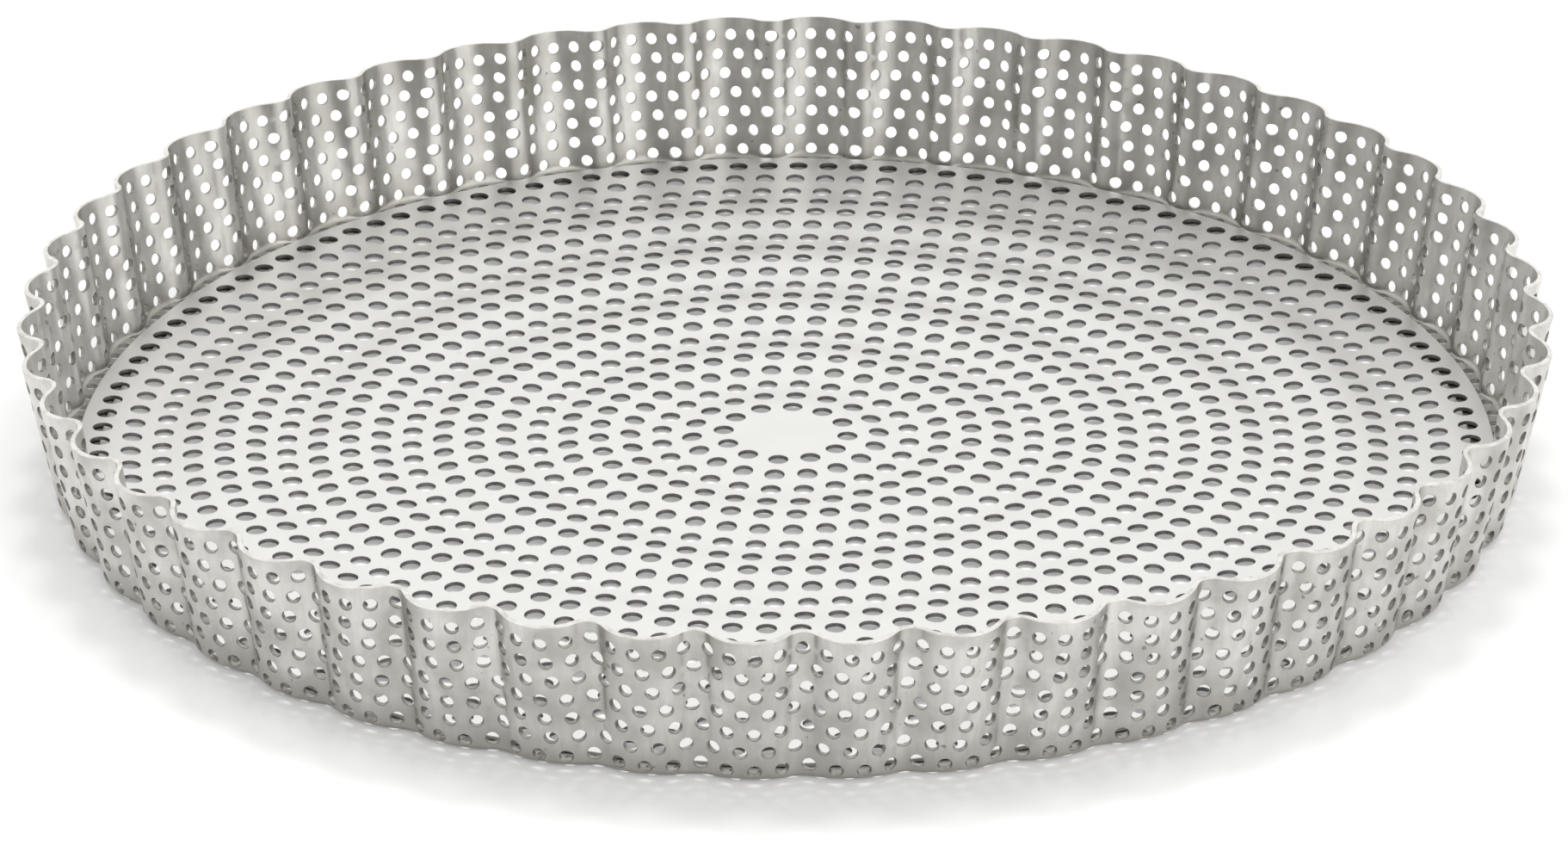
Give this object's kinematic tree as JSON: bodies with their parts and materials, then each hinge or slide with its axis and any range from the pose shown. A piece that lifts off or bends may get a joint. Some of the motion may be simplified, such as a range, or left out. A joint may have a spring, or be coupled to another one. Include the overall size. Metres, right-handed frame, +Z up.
{
  "type": "fluted tart pan",
  "caption": "Round fluted tart pan of perforated steel sheet: a flared ring with an inward lip, and a loose rippled base that lies on the lip and lifts out to free the bake.",
  "frame": {"origin": "centre of the ring's flat underside, where the pan stands", "axes": "+Z up along the pan's axis, +X through the middle of one outward lobe of the rim"},
  "size_m": [0.244, 0.244, 0.0256],
  "materials": {
    "ring_steel": "satin pickled stainless sheet, perforated",
    "base_steel": "satin stainless sheet, perforated"
  },
  "bodies": {
    "ring": {"fluted_ring": "ring_steel"},
    "base": {"loose_base": "base_steel"}
  },
  "joints": [
    {"name": "base_lift", "type": "slide", "parent": "ring", "child": "base", "axis": [0, 0, 1], "range_m": [0, 0.045]}
  ]
}
